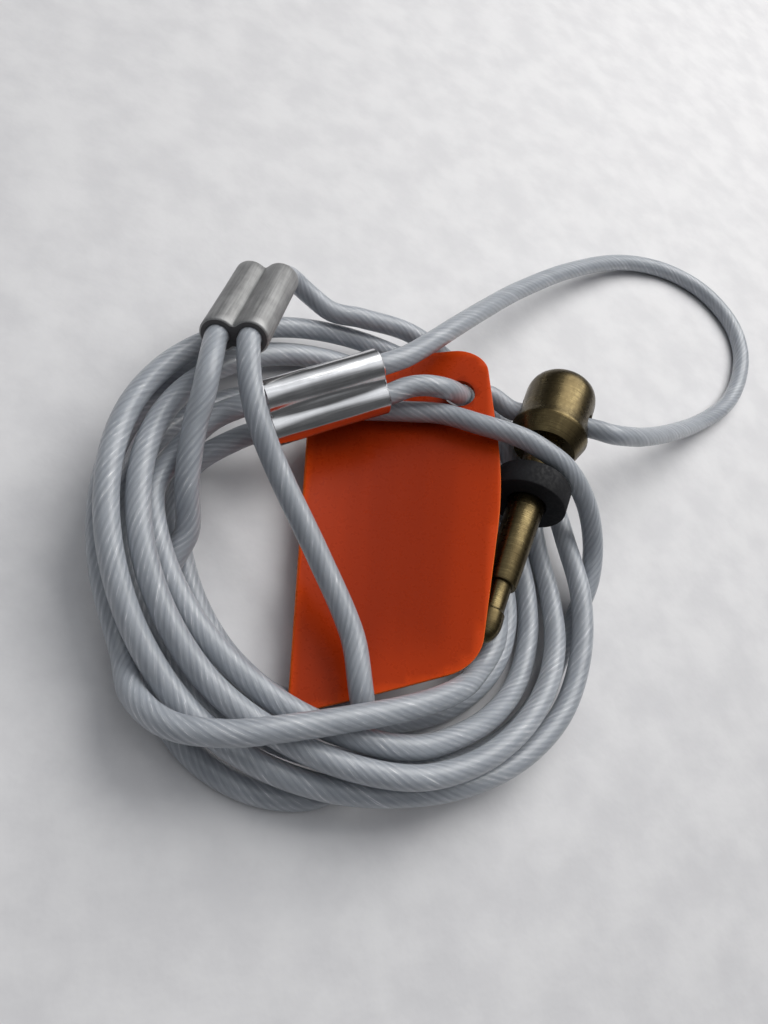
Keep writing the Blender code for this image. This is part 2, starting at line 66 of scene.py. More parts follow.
# Rope
ROPE_DIAMETER = 4.0
ROPE_SIDES = 18
ROPE_RING_STEP = 0.8
COIL_STEP_DEGREES = 15.0
EXTRA_COIL_ANGLES = (577.5, 592.5, 1072.5, 1087.5, 1102.5)
ROPE_LEAD = 1.0
ROPE_ENTRY = 5.0
SEAT_GAP = 0.3
WIRES = 12
WIRE_LAY_DIAMETERS = 5.4
WIRE_STRETCH = 0.16

# Sleeves
SLEEVE_LENGTH = 22.6
BARREL_RADIUS = 3.2
BARREL_SPACING = 5.6
GROOVE_BLEND = 0.5
FLAT_CROWN = 0.25
OUTLINE_POINTS = 24
PRESSED_BORE = 2.06
BORE_SIDES = 40
CUTTER_OVERRUN = 4
# Faces that point this nearly along the sleeve are its end faces, which get painted shade
END_PAINTED_SHADE_FACING = 0.95
ANCHOR_EDGE = 0.35
ANCHOR_STEPS = 12
ANCHOR_WAIST = 0.05
TETHER_EDGE = 0.4
TETHER_STEPS = 40
TETHER_GROOVE = 2.45
PRESS_MARKS = 3
PRESS_MARK_DEPTH = 0.02
PRESS_DEPTH = 0.10
PRESS_GROOVE_RISE = 0.2
PRESS_FLAT = 0.16
# Colour of the painted shade on the sleeves' end faces
END_PAINTED_SHADE_COLOUR = (0.125, 0.121, 0.124)
PALE_ALUMINIUM = {
    "dark": (0.27, 0.27, 0.27), "light": (0.46, 0.46, 0.46),
    "rough_low": 0.52, "rough_high": 0.68, "scratch": 0.5,
}
PRESSED_ALUMINIUM = {
    "dark": (0.66, 0.66, 0.67), "light": (0.88, 0.88, 0.89),
    "rough_low": 0.10, "rough_high": 0.20, "scratch": 0.10,
}
# Each sleeve: the middle of its first end, a point it is aimed at, and its roll in degrees
ANCHOR_SLEEVE = (Vector((-34.4, 17.9, 22.2)), Vector((-25.7, 39.9, 15.7)), -25.0)
TETHER_SLEEVE = (Vector((-27.4, 8.4, 14.7)), Vector((-7.3, 16.0, 19.0)), 40.0)

# Tag
TAG_THICKNESS = 1.0
TAG_MIDDLE = Vector((-3.0, -2.6, 9.1))
TAG_UP = Vector((0.165, 0.986, 0.02))
TAG_RISE = 0.30
TAG_CURL = 0.0055
TAG_CORNERS = [
    (15.9, 37.2, 5.5), (4.0, 34.6, 6.0), (-16.2, 16.0, 3.0), (-13.2, -41.2, 2.5), (15.7, -30.3, 8.0),
    (19.2, 5.0, 100.0),
]
TAG_HOLE_ACROSS = 12.0
TAG_HOLE_UP = 25.0
# The hole lies close round the rope, a little to one side of the point that the tag turns on
TAG_HOLE_RADIUS = 3.1
TAG_HOLE_SHIFT = Vector((-0.6, 0.2, 0.0))
TAG_HOLE_SIDES = 48
TAG_CORNER_POINTS = 12
TAG_EDGE_ROUND = 0.28
TAG_GRID_ACROSS = range(-16, 19, 2)
TAG_GRID_UP = range(-40, 40, 2)
# How far in from its edges the sheet has painted light: a bright painted rim and a faint wide painted glow
TAG_PAINTED_RIM_WIDTH = 0.7
TAG_PAINTED_GLOW_WIDTH = 7.0
TAG_PAINTED_GLOW = 0.50

# Pull pin and washer, measured from the top of the head along the axis
PIN_TOP = Vector((36.4, 24.7, 16.3))
PIN_END = Vector((10.3, -29.8, 11.4))
PIN_HOLE_AT = 9.2
PIN_HOLE_RADIUS = 2.6
PIN_HOLE_STRAIGHT = 8.8
PIN_HOLE_DIRECTION = Vector((0.80, -0.42, 0.43))
PIN_SIDES = 72
WASHER_AT = 25.8
WASHER_THICKNESS = 5.0
WASHER_RADIUS = 7.5
WASHER_FIT = 0.12
WASHER_EDGE = 0.3
WASHER_EDGE_MIDDLE = 0.1
SHANK_RADIUS = 3.5

# The pin's turned outline as (distance from the top, radius): its crown, and what follows from dome to nose.
# The dome goes on from the crown by (depth, swell), and the nose is (length, radius).
PIN_CROWN = [(0.0, 0.0), (0.0, 3.9), (0.12, 4.6)]
PIN_DOME = (3.88, 2.5)
PIN_BELOW_DOME = [
    (10.0, 7.12), (12.4, 7.45), (13.1, 7.68), (13.5, 7.7), (13.9, 7.55), (17.0, 6.35), (17.4, 6.1), (17.4, 3.8),
    (17.6, SHANK_RADIUS), (32.0, SHANK_RADIUS), (48.5, 3.05), (48.9, 2.9), (49.0, 2.75), (49.0, 2.25),
    (49.3, 2.2), (54.0, 2.2), (54.4, 2.26), (54.8, 2.52),
]
PIN_NOSE = (4.2, 2.6)
PIN_ROUND_STEPS = 8
PIN_DRILL_DEPTH = 30.0

# The wound rope's turns: angle round the coil in degrees, radius, height of the rope's middle
TURN_INNER_LEFT = [
    (180, 40.2, 11.2), (200, 39.7, 10.6), (225, 38.9, 10.0), (255, 40.0, 12.0), (270, 40.6, 12.1),
    (290, 39.0, 8.9), (315, 37.6, 3.6), (337, 34.9, 2.1), (360, 32.2, 2.0), (405, 35.8, 2.0),
    (450, 39.5, 2.0), (495, 43.8, 5.6),
]
TURN_OVER_ALL = [
    (180, 47.8, 10.8), (203, 49.2, 8.2), (210, 49.8, 7.0), (216, 52.2, 8.6), (222, 53.0, 11.6),
    (228, 51.8, 14.3), (234, 48.4, 15.9), (241, 44.2, 16.6), (250, 39.9, 16.8), (261, 36.8, 16.2),
    (270, 34.9, 15.4), (281, 33.1, 14.3), (290, 32.7, 11.4), (300, 31.2, 8.2), (315, 29.6, 6.6),
    (338, 25.6, 4.6), (360, 22.8, 2.9), (405, 27.0, 4.4), (450, 28.6, 2.6), (495, 37.0, 2.2),
]
TURN_OVER_PIN = [
    (180, 44.0, 7.0), (225, 43.7, 6.2), (270, 42.4, 7.7), (290, 43.2, 4.9), (315, 43.4, 2.0),
    (338, 43.4, 2.2), (344, 45.0, 2.8), (351, 46.3, 4.8), (358, 46.2, 7.8), (363.5, 44.2, 11.4),
    (369, 40.8, 15.8), (375, 35.8, 19.8), (381.5, 31.6, 21.2), (388, 29.2, 20.8), (396, 27.3, 19.9),
    (404, 25.4, 18.2), (413, 25.0, 16.3), (430, 23.0, 13.8), (445, 22.2, 11.8), (469, 22.9, 10.2),
    (481.5, 23.6, 9.4), (493.5, 24.9, 8.6), (508.5, 28.8, 7.4), (518, 32.6, 5.8), (528.5, 34.9, 4.5),
]
TURN_UNDER_TAG = [
    (180, 35.0, 3.5), (200, 34.6, 2.2), (225, 35.3, 2.1), (243, 35.0, 2.2), (258, 31.8, 2.6),
    (270, 34.0, 3.0), (315, 32.8, 2.2), (360, 27.6, 2.0), (405, 31.3, 2.0), (450, 35.5, 5.8),
    (495, 39.5, 10.5),
]
TURN_MIDDLE = [
    (180, 42.8, 15.3), (225, 43.7, 11.1), (247, 44.3, 12.4), (270, 45.4, 13.5), (315, 41.2, 8.6),
    (337, 39.0, 4.8), (360, 37.0, 2.3), (405, 39.2, 6.0), (450, 43.6, 5.4), (495, 45.0, 11.0),
]
TURN_OUTER = [
    (180, 47.5, 15.8), (225, 48.4, 9.6), (247, 47.7, 8.0), (270, 46.9, 8.6), (315, 46.6, 6.8),
    (338, 43.6, 7.4), (351, 42.0, 7.2), (360, 41.4, 6.2), (405, 43.8, 4.5), (431, 47.0, 7.6),
    (450, 45.6, 9.8),
]
WOUND_TURNS = [TURN_INNER_LEFT, TURN_OVER_ALL, TURN_OVER_PIN, TURN_UNDER_TAG, TURN_MIDDLE, TURN_OUTER]

# The wound rope's two ends, then the eyes, point by point
COIL_START_ROUTE = [(-36.6, 6.0, 14.6), (-42.2, -0.6, 12.0)]
COIL_END_ROUTE = [(-11.4, 38.6, 10.0), (-16.4, 40.8, 11.2), (-20.8, 41.8, 13.6)]
ANCHOR_EYE_ROUTE = [
    (-38.6, 10.4, 22.4), (-39.2, 6.1, 21.2), (-40.0, 1.9, 18.6), (-40.3, -6.0, 14.0), (-39.2, -11.8, 9.0),
    (-40.6, -15.3, 6.6), (-42.8, -19.8, 3.9), (-44.0, -26.0, 2.1), (-43.0, -36.0, 2.0),
    (-37.5, -45.5, 2.0), (-28.5, -51.4, 2.0), (-19.0, -52.8, 2.0), (-12.6, -50.0, 2.1),
    (-10.6, -46.0, 3.4), (-11.4, -42.6, 8.6), (-12.8, -38.0, 12.0), (-13.8, -29.6, 12.6),
    (-19.2, -17.6, 14.6), (-26.6, -4.6, 18.4), (-30.5, 3.0, 21.4), (-32.0, 9.1, 22.9),
]
TETHER_EYE_ROUTE = [
    (-2.3, 21.2, 20.8), (2.9, 25.6, 19.8), (11.4, 33.5, 18.0), (21.5, 43.0, 15.1), (34.6, 54.9, 11.0),
    (54.2, 69.6, 6.8), (75.0, 81.0, 3.4), (91.0, 83.8, 2.1), (103.0, 79.6, 2.1), (109.9, 70.6, 2.1),
    (110.5, 60.3, 2.1), (105.8, 49.4, 2.1), (97.9, 40.1, 2.4), (84.9, 31.4, 4.4), (67.2, 21.5, 11.0),
    (53.7, 14.9, 16.6), (46.5, 12.4, 19.2), (41.9, 11.6, 20.2),
]
TETHER_RETURN_ROUTE = [
    (21.6, 23.6, 10.9), (17.8, 23.8, 10.7), (14.6, 21.8, 11.6), (12.4, 19.9, 14.1), (9.0, 18.4, 17.0),
    (5.6, 17.2, 18.9), (2.4, 17.0, 19.0), (-1.0, 16.4, 18.4),
]


def placed(point):
    return (Vector(point) + PART_SHIFT) * MM


def smooth_value(stops, values, at):
    """Cubic through the stops, with the slope at each stop taken from its two neighbours."""
    last = len(stops) - 1
    index = 0
    while index < last - 1 and stops[index + 1] < at:
        index += 1

    def slope(i):
        low = max(i - 1, 0)
        high = min(i + 1, last)
        return (values[high] - values[low]) / (stops[high] - stops[low])

    width = stops[index + 1] - stops[index]
    t = (at - stops[index]) / width
    a, b = values[index], values[index + 1]
    m, n = slope(index) * width, slope(index + 1) * width
    return (
        (2 * t ** 3 - 3 * t ** 2 + 1) * a + (t ** 3 - 2 * t ** 2 + t) * m
        + (3 * t ** 2 - 2 * t ** 3) * b + (t ** 3 - t ** 2) * n
    )


def smooth_route(points, step):
    """Points about one step apart on a smooth curve through the given points."""
    stops = [0.0]
    for before, after in zip(points, points[1:]):
        stops.append(stops[-1] + (Vector(after) - Vector(before)).length)
    count = max(2, round(stops[-1] / step))
    columns = [[point[axis] for point in points] for axis in range(3)]
    route = []
    for i in range(count + 1):
        at = stops[-1] * i / count
        route.append(Vector([smooth_value(stops, column, at) for column in columns]))
    return route


def sleeve_axes(sleeve):
    start, aim, roll = sleeve
    along = (aim - start).normalized()
    level = along.cross(Vector((0, 0, 1))).normalized()
    return along, Matrix.Rotation(math.radians(roll), 3, along) @ level


def barrel_point(sleeve, side, distance):
    along, across = sleeve_axes(sleeve)
    return sleeve[0] + along * distance + across * (side * BARREL_SPACING / 2)


def frame_matrix(origin, along, across):
    z_axis = Vector(along).normalized()
    x_axis = Vector(across) - z_axis * Vector(across).dot(z_axis)
    x_axis.normalize()
    y_axis = z_axis.cross(x_axis)
    matrix = Matrix((x_axis, y_axis, z_axis)).transposed().to_4x4()
    matrix.translation = origin
    return matrix


def pin_direction():
    return (PIN_END - PIN_TOP).normalized()


def pin_point(distance):
    return PIN_TOP + pin_direction() * distance


def wound_points():
    stations = []
    for number, turn in enumerate(WOUND_TURNS):
        stations += [(angle + 360 * number, radius, height) for angle, radius, height in turn]
    angles, radii, heights = zip(*stations)
    count = int((angles[-1] - angles[0]) // COIL_STEP_DEGREES) + 1
    sampled = [angles[0] + i * COIL_STEP_DEGREES for i in range(count)]
    points = []
    for angle in sorted(sampled + list(EXTRA_COIL_ANGLES)):
        radius = smooth_value(angles, radii, angle)
        turned = math.radians(angle)
        height = smooth_value(angles, heights, angle)
        points.append(COIL_CENTRE + Vector((radius * math.cos(turned), radius * math.sin(turned), height)))
    lead_in = [barrel_point(TETHER_SLEEVE, -1, at) for at in (ROPE_ENTRY, 0.0, -ROPE_LEAD)]
    lead_out = [barrel_point(ANCHOR_SLEEVE, 1, SLEEVE_LENGTH + at) for at in (ROPE_LEAD, 0.0, -ROPE_ENTRY)]
    start = [Vector(point) for point in COIL_START_ROUTE]
    end = [Vector(point) for point in COIL_END_ROUTE]
    return lead_in + start + points + end + lead_out


def anchor_eye_points():
    start_at = (SLEEVE_LENGTH - SEAT_GAP, 0.0, -ROPE_LEAD)
    end_at = (-ROPE_LEAD, 0.0, SLEEVE_LENGTH - ROPE_ENTRY - SEAT_GAP)
    start = [barrel_point(ANCHOR_SLEEVE, -1, at) for at in start_at]
    end = [barrel_point(ANCHOR_SLEEVE, 1, at) for at in end_at]
    return start + [Vector(p) for p in ANCHOR_EYE_ROUTE] + end


def tether_eye_points():
    start_at = (ROPE_ENTRY + SEAT_GAP, SLEEVE_LENGTH, SLEEVE_LENGTH + ROPE_LEAD)
    end_at = (SLEEVE_LENGTH + ROPE_LEAD, SLEEVE_LENGTH, SEAT_GAP)
    start = [barrel_point(TETHER_SLEEVE, -1, at) for at in start_at]
    end = [barrel_point(TETHER_SLEEVE, 1, at) for at in end_at]
    hole = pin_point(PIN_HOLE_AT)
    through = PIN_HOLE_DIRECTION.normalized() * PIN_HOLE_STRAIGHT
    in_hole = [hole + through * part for part in (1.0, 0.5, 0.0, -0.5, -1.0)]
    out = [Vector(p) for p in TETHER_EYE_ROUTE]
    back = [Vector(p) for p in TETHER_RETURN_ROUTE]
    return start + out + in_hole + back + end


# Materials

def node_tools(name):
    material = bpy.data.materials.new(name)
    material.use_nodes = True
    tree = material.node_tree
    shader = tree.nodes["Principled BSDF"]

    def add(kind, **settings):
        node = tree.nodes.new(kind)
        for key, value in settings.items():
            setattr(node, key, value)
        return node

    def join(output, socket):
        tree.links.new(output, socket)

    def math_node(operation, a, b=None):
        node = add("ShaderNodeMath", operation=operation)
        for index, value in enumerate((a, b)):
            if value is None:
                continue
            if isinstance(value, (int, float)):
                node.inputs[index].default_value = value
            else:
                join(value, node.inputs[index])
        return node.outputs[0]

    return material, shader, add, join, math_node


def ramp(add, join, factor, stops, interpolation="EASE"):
    node = add("ShaderNodeValToRGB")
    node.color_ramp.interpolation = interpolation
    elements = node.color_ramp.elements
    while len(elements) < len(stops):
        elements.new(0.5)
    for element, (position, colour) in zip(elements, stops):
        element.position = position
        if len(colour) == 3:
            colour = (*colour, 1.0)
        element.color = colour
    join(factor, node.inputs[0])
    return node.outputs[0]


def grey_ramp(add, join, factor, *stops):
    return ramp(add, join, factor, [(position, (grey,) * 3) for position, grey in stops])


def bump(add, join, shader, height, strength, distance):
    node = add("ShaderNodeBump")
    node.inputs["Strength"].default_value = strength
    node.inputs["Distance"].default_value = distance
    join(height, node.inputs["Height"])
    join(node.outputs[0], shader.inputs["Normal"])


def scaled_noise(add, join, vector, scale, size, detail=3.0, roughness=0.55):
    mapping = add("ShaderNodeMapping")
    mapping.inputs["Scale"].default_value = scale
    join(vector, mapping.inputs["Vector"])
    noise = add("ShaderNodeTexNoise")
    noise.inputs["Scale"].default_value = size
    noise.inputs["Detail"].default_value = detail
    noise.inputs["Roughness"].default_value = roughness
    join(mapping.outputs[0], noise.inputs["Vector"])
    return noise.outputs["Fac"]


def rope_material():
    """Wires seen through a clear grey coating: fine slanting ridges, painted shade in the grooves, painted light
    on the crests and painted glints.
    """
    material, shader, add, join, calc = node_tools("coated_rope_look")
    uv = add("ShaderNodeUVMap", uv_map="rope")
    parts = add("ShaderNodeSeparateXYZ")
    join(uv.outputs[0], parts.inputs[0])
    around, along = parts.outputs[0], parts.outputs[1]
    turn = calc("SUBTRACT", around, calc("DIVIDE", along, WIRE_LAY_DIAMETERS))
    crest = calc("ABSOLUTE", calc("SINE", calc("MULTIPLY", turn, WIRES * math.pi)))
    # The same place on the rope, unwound along the wires, so that the painted glints run along them without a seam
    twisted = add("ShaderNodeCombineXYZ")
    angle = calc("MULTIPLY", turn, 2 * math.pi)
    join(calc("COSINE", angle), twisted.inputs[0])
    join(calc("SINE", angle), twisted.inputs[1])
    join(calc("MULTIPLY", along, WIRE_STRETCH), twisted.inputs[2])
    cloud = scaled_noise(add, join, twisted.outputs[0], (1.0, 1.0, 1.6), 1.7, 3.0)
    fleck = scaled_noise(add, join, twisted.outputs[0], (9.0, 9.0, 9.0), 1.6, 2.0)
    fade = scaled_noise(add, join, twisted.outputs[0], (0.6, 0.6, 0.9), 1.3, 2.0)
    # Painted highlight: bright glints are painted into the colour where the fleck noise peaks near a wire crest;
    # the same mask also lowers the roughness there
    raised = calc("ADD", fleck, calc("MULTIPLY", crest, 0.10))
    gloss_and_painted_glint = grey_ramp(add, join, raised, (0.64, 0.0), (0.76, 1.0))
    # Painted shade and highlight: thin lighter lines along the wire crests and darker grooves between the wires,
    # faded in and out along the rope
    line = grey_ramp(add, join, crest, (0.50, 0.0), (0.97, 1.0))
    shown = grey_ramp(add, join, fade, (0.38, 0.15), (0.62, 1.0))
    # The crest term here is painted shade too: the grooves between the wires are darker in the colour, beside a
    # random cloudy tone
    base = calc("ADD", calc("MULTIPLY", crest, 0.10), calc("MULTIPLY", cloud, 0.52))
    painted_crest_line = calc("MULTIPLY", line, shown)
    painted_lines_and_glints = calc("ADD", calc("MULTIPLY", painted_crest_line, 0.13), calc("MULTIPLY", gloss_and_painted_glint, 0.26))
    tone = calc("ADD", base, painted_lines_and_glints)
    # The top of this ramp is the painted glint colour
    colour = ramp(add, join, tone, [
        (0.18, (0.285, 0.306, 0.340)), (0.38, (0.355, 0.380, 0.416)), (0.56, (0.445, 0.468, 0.504)),
        (0.84, (0.76, 0.77, 0.79)),
    ])
    join(colour, shader.inputs["Base Color"])
    join(grey_ramp(add, join, gloss_and_painted_glint, (0.0, 0.38), (1.0, 0.14)), shader.inputs["Roughness"])
    shader.inputs["Subsurface Weight"].default_value = 0.25
    shader.inputs["Subsurface Radius"].default_value = (0.0010, 0.0011, 0.0013)
    shader.inputs["Subsurface Scale"].default_value = 1.0
    shader.inputs["Coat Weight"].default_value = 0.35
    shader.inputs["Coat Roughness"].default_value = 0.22
    shader.inputs["Coat IOR"].default_value = 1.46
    bump(add, join, shader, calc("ADD", crest, calc("MULTIPLY", fleck, 1.2)), 0.12, 0.00030)
    return material


def aluminium_material(name, dark, light, rough_low, rough_high, scratch):
    """Bare aluminium with drawing streaks along it, and end faces darkened by painted shade."""
    material, shader, add, join, calc = node_tools(name)
    uv = add("ShaderNodeUVMap", uv_map="sleeve")
    streak = scaled_noise(add, join, uv.outputs[0], (58.0, 1.3, 1.0), 1.6, 4.0, 0.65)
    patch = scaled_noise(add, join, uv.outputs[0], (5.0, 4.0, 1.0), 1.8, 3.0)
    tone = calc("ADD", calc("MULTIPLY", streak, 0.65), calc("MULTIPLY", patch, 0.35))
    # Painted shade: the end faces are darkened in the colour
    cut = add("ShaderNodeAttribute", attribute_name="end_painted_shade")
    shown = calc("SUBTRACT", tone, calc("MULTIPLY", cut.outputs["Fac"], 0.4))
    colour = ramp(add, join, shown, [(0.05, END_PAINTED_SHADE_COLOUR), (0.30, dark), (0.70, light)])
    join(colour, shader.inputs["Base Color"])
    join(grey_ramp(add, join, streak, (0.25, rough_low), (0.75, rough_high)), shader.inputs["Roughness"])
    shader.inputs["Metallic"].default_value = 1.0
    bump(add, join, shader, tone, scratch, 0.00012)
    return material


def tag_material():
    """Translucent orange sheet: painted shade makes it darker towards its middle, and a painted glow lights its
    cut edges.
    """
    material, shader, add, join, calc = node_tools("orange_sheet_look")
    painted_edge_glow = add("ShaderNodeAttribute", attribute_name="painted_edge_glow")
    place = add("ShaderNodeTexCoord")
    cloud = scaled_noise(add, join, place.outputs["Object"], (1.0, 0.35, 1.0), 70.0, 3.0)
    grain = scaled_noise(add, join, place.outputs["Object"], (1.0, 1.0, 1.0), 900.0, 2.0)
    band = scaled_noise(add, join, place.outputs["Object"], (1.0, 0.03, 0.2), 230.0, 2.0)
    uneven = calc("ADD", calc("MULTIPLY", cloud, 0.14), calc("MULTIPLY", band, 0.20))
    # Painted light: the edge glow lifts the colour near the cut edges and leaves the middle darker as painted
    # shade
    tone = calc("ADD", painted_edge_glow.outputs["Fac"], calc("SUBTRACT", uneven, 0.17))
    colour = ramp(add, join, tone, [
        (0.02, (0.330, 0.027, 0.003)), (0.35, (0.465, 0.040, 0.004)), (0.70, (0.690, 0.066, 0.006)),
        (1.0, (0.90, 0.160, 0.016)),
    ])
    join(colour, shader.inputs["Base Color"])
    join(grey_ramp(add, join, grain, (0.3, 0.26), (0.7, 0.34)), shader.inputs["Roughness"])
    shader.inputs["Transmission Weight"].default_value = 0.10
    shader.inputs["IOR"].default_value = 1.49
    shader.inputs["Specular IOR Level"].default_value = 0.04
    bump(add, join, shader, cloud, 0.05, 0.0003)
    return material


def brass_material():
    """Turned brass, darkened with age: fine rings round it and lighter wear between the stains."""
    material, shader, add, join, calc = node_tools("aged_brass_look")
    place = add("ShaderNodeTexCoord")
    rings = scaled_noise(add, join, place.outputs["Object"], (0.02, 0.02, 1.0), 5200.0, 2.0)
    stain = scaled_noise(add, join, place.outputs["Object"], (1.0, 1.0, 0.55), 330.0, 4.0, 0.62)
    speck = scaled_noise(add, join, place.outputs["Object"], (1.0, 1.0, 1.0), 1900.0, 2.0)
    tone = calc("ADD", calc("MULTIPLY", stain, 0.62), calc("MULTIPLY", rings, 0.38))
    colour = ramp(add, join, tone, [
        (0.28, (0.050, 0.036, 0.017)), (0.48, (0.105, 0.080, 0.039)), (0.62, (0.165, 0.128, 0.062)),
        (0.85, (0.30, 0.24, 0.12)),
    ])
    join(colour, shader.inputs["Base Color"])
    wear = calc("ADD", calc("MULTIPLY", stain, 0.6), calc("MULTIPLY", speck, 0.4))
    join(grey_ramp(add, join, wear, (0.30, 0.38), (0.70, 0.22)), shader.inputs["Roughness"])
    shader.inputs["Metallic"].default_value = 1.0
    height = calc("ADD", calc("MULTIPLY", rings, 0.8), calc("MULTIPLY", speck, 0.2))
    bump(add, join, shader, height, 0.35, 0.00010)
    return material


def rubber_material():
    """Black rubber with a dusty, grainy face."""
    material, shader, add, join, calc = node_tools("black_rubber_look")
    place = add("ShaderNodeTexCoord")
    grain = scaled_noise(add, join, place.outputs["Object"], (1.0, 1.0, 1.0), 1500.0, 3.0)
    dust = scaled_noise(add, join, place.outputs["Object"], (1.0, 1.0, 1.0), 260.0, 4.0)
    tone = calc("ADD", calc("MULTIPLY", grain, 0.4), calc("MULTIPLY", dust, 0.6))
    colour = ramp(add, join, tone, [
        (0.35, (0.004, 0.004, 0.005)), (0.60, (0.009, 0.009, 0.011)), (0.8, (0.03, 0.03, 0.03)),
    ])
    join(colour, shader.inputs["Base Color"])
    join(grey_ramp(add, join, grain, (0.3, 0.60), (0.7, 0.85)), shader.inputs["Roughness"])
    shader.inputs["Specular IOR Level"].default_value = 0.30
    bump(add, join, shader, grain, 0.4, 0.0001)
    return material


def floor_material():
    """Plain pale sheet, very slightly uneven."""
    material, shader, add, join, calc = node_tools("pale_floor")
    place = add("ShaderNodeTexCoord")
    cloud = scaled_noise(add, join, place.outputs["Object"], (1.0, 1.0, 1.0), 90.0, 4.0)
    colour = ramp(add, join, cloud, [(0.3, (0.66, 0.655, 0.67)), (0.7, (0.74, 0.735, 0.745))])
    join(colour, shader.inputs["Base Color"])
    shader.inputs["Roughness"].default_value = 0.55
    bump(add, join, shader, cloud, 0.25, 0.001)
    return material


# Shapes

def link(name, mesh, material, world=None):
    mesh.materials.append(material)
    obj = bpy.data.objects.new(name, mesh)
    bpy.context.collection.objects.link(obj)
    if world is not None:
        obj.matrix_world = world
    return obj


def dress(obj, body, node):
    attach(obj, body)
    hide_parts(node)


def rope_mesh(name, path, material):
    """A round rope along a path in metres, with a map that runs round and along it for the strands."""
    bm = bmesh.new()
    uv = bm.loops.layers.uv.new("rope")
    radius = ROPE_DIAMETER / 2 * MM
    tangents = []
    for i in range(len(path)):
        before = path[max(i - 1, 0)]
        after = path[min(i + 1, len(path) - 1)]
        tangents.append((after - before).normalized())
    side = tangents[0].orthogonal().normalized()
    rings = []
    travelled = [0.0]
    for i, centre in enumerate(path):
        if i:
            travelled.append(travelled[-1] + (centre - path[i - 1]).length)
            side = side - tangents[i] * side.dot(tangents[i])
            side.normalize()
        other = tangents[i].cross(side)
        ring = []
        for k in range(ROPE_SIDES):
            angle = 2 * math.pi * k / ROPE_SIDES
            offset = side * math.cos(angle) + other * math.sin(angle)
            point = centre + offset * radius
            point.z = max(point.z, 0.0)
            ring.append(bm.verts.new(point))
        rings.append(ring)
    for i in range(len(rings) - 1):
        for k in range(ROPE_SIDES):
            j = (k + 1) % ROPE_SIDES
            face = bm.faces.new((rings[i][k], rings[i][j], rings[i + 1][j], rings[i + 1][k]))
            face.smooth = True
            corners = ((k, i), (k + 1, i), (k + 1, i + 1), (k, i + 1))
            for loop, (turn, row) in zip(face.loops, corners):
                loop[uv].uv = (turn / ROPE_SIDES, travelled[row] / (ROPE_DIAMETER * MM))
    bm.faces.new(list(reversed(rings[0])))
    bm.faces.new(rings[-1])
    mesh = bpy.data.meshes.new(name)
    bm.to_mesh(mesh)
    bm.free()
    return link(name, mesh, material)


def make_rope(name, points, node, material):
    path = [placed(point) for point in smooth_route(points, ROPE_RING_STEP)]
    obj = rope_mesh(name, path, material)
    dress(obj, "lanyard", node)
    return obj


def sleeve_outline(radius, groove, flat):
    """Two round barrels that meet at a groove; flat pulls the section's top and bottom in."""
    offset = BARREL_SPACING / 2
    outline = []
    total = 4 * OUTLINE_POINTS
    for i in range(total):
        angle = 2 * math.pi * i / total
        direction = Vector((math.cos(angle), math.sin(angle)))
        side = 1 if direction.x >= 0 else -1
        centre = Vector((side * offset, 0.0))
        along = direction.dot(centre)
        inside = along * along - centre.length_squared + radius * radius
        reach = along + math.sqrt(max(inside, 0.0))
        reach = (reach + groove + math.hypot(reach - groove, GROOVE_BLEND)) / 2
        point = direction * reach
        if abs(point.y) > radius - flat:
            point.y = math.copysign(radius - flat + (abs(point.y) - radius + flat) * FLAT_CROWN, point.y)
        outline.append(point)
    return outline


def sleeve_mesh(name, sleeve, sections, material):
    """A sleeve lofted from (distance, radius, groove depth, flat) sections, with its two bores."""
    along, across = sleeve_axes(sleeve)
    world = frame_matrix(placed(sleeve[0]), along, across)
    bm = bmesh.new()
    uv = bm.loops.layers.uv.new("sleeve")
    rings = []
    for distance, radius, groove, flat in sections:
        outline = sleeve_outline(radius, groove, flat)
        rings.append([bm.verts.new(Vector((p.x, p.y, distance)) * MM) for p in outline])
    count = len(rings[0])
    for row, (low, high) in enumerate(zip(rings, rings[1:])):
        for i in range(count):
            j = (i + 1) % count
            face = bm.faces.new((low[i], low[j], high[j], high[i]))
            face.smooth = True
            heights = (sections[row][0], sections[row][0], sections[row + 1][0], sections[row + 1][0])
            for loop, turn, height in zip(face.loops, (i, i + 1, i + 1, i), heights):
                loop[uv].uv = (turn / count, height / SLEEVE_LENGTH)
    bm.faces.new(list(reversed(rings[0])))
    bm.faces.new(rings[-1])
    mesh = bpy.data.meshes.new(name)
    bm.to_mesh(mesh)
    bm.free()
    obj = link(name, mesh, material, world)
    for side in (1, -1):
        offset = Vector((side * BARREL_SPACING / 2, 0, SLEEVE_LENGTH / 2))
        middle = world @ Matrix.Translation(offset * MM)
        drill(obj, middle, PRESSED_BORE, SLEEVE_LENGTH + CUTTER_OVERRUN, BORE_SIDES)
    # The end faces are marked for the painted shade that darkens them
    cut = obj.data.attributes.new("end_painted_shade", "FLOAT", "FACE")
    for face in obj.data.polygons:
        cut.data[face.index].value = 1.0 if abs(face.normal.z) > END_PAINTED_SHADE_FACING else 0.0
    return obj


